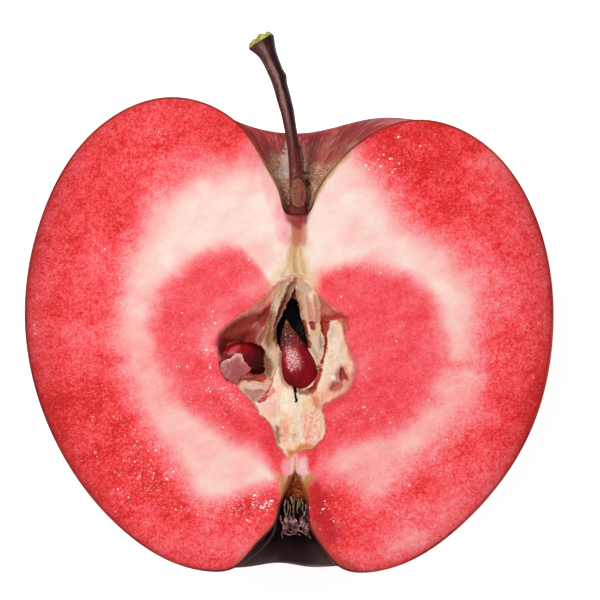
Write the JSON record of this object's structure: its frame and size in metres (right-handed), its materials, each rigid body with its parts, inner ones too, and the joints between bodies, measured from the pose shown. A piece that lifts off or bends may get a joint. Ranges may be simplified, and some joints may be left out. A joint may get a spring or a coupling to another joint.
{
  "type": "red-fleshed apple half",
  "caption": "Half of a red-fleshed apple lying on its round back, its cut face up, with core, pips, dried sepals and stalk.",
  "frame": {"origin": "middle of the small flat spot on the round back that the half rests on", "axes": "+Z out of the level cut face, +Y towards the stalk, +X to the right of the cut face seen from above with the stalk at the top"},
  "size_m": [0.0702, 0.0718, 0.0334],
  "materials": {
    "flesh": "wet cut flesh, red with a pale band, under dark red skin",
    "skin": "thin waxy dark red skin, russet in the stalk cavity",
    "core": "fibrous cream and pink core tissue",
    "pip": "glossy dark red-brown pip",
    "stalk": "smooth maroon-brown bark, green pith at the broken end",
    "sepal": "dry, curled, purple-brown"
  },
  "bodies": {
    "root": {"flesh": "flesh", "core": "core", "pip_middle": "pip", "pip_left": "pip", "stalk": "stalk", "sepal_1": "sepal", "sepal_2": "sepal", "sepal_3": "sepal"}
  },
  "joints": []
}
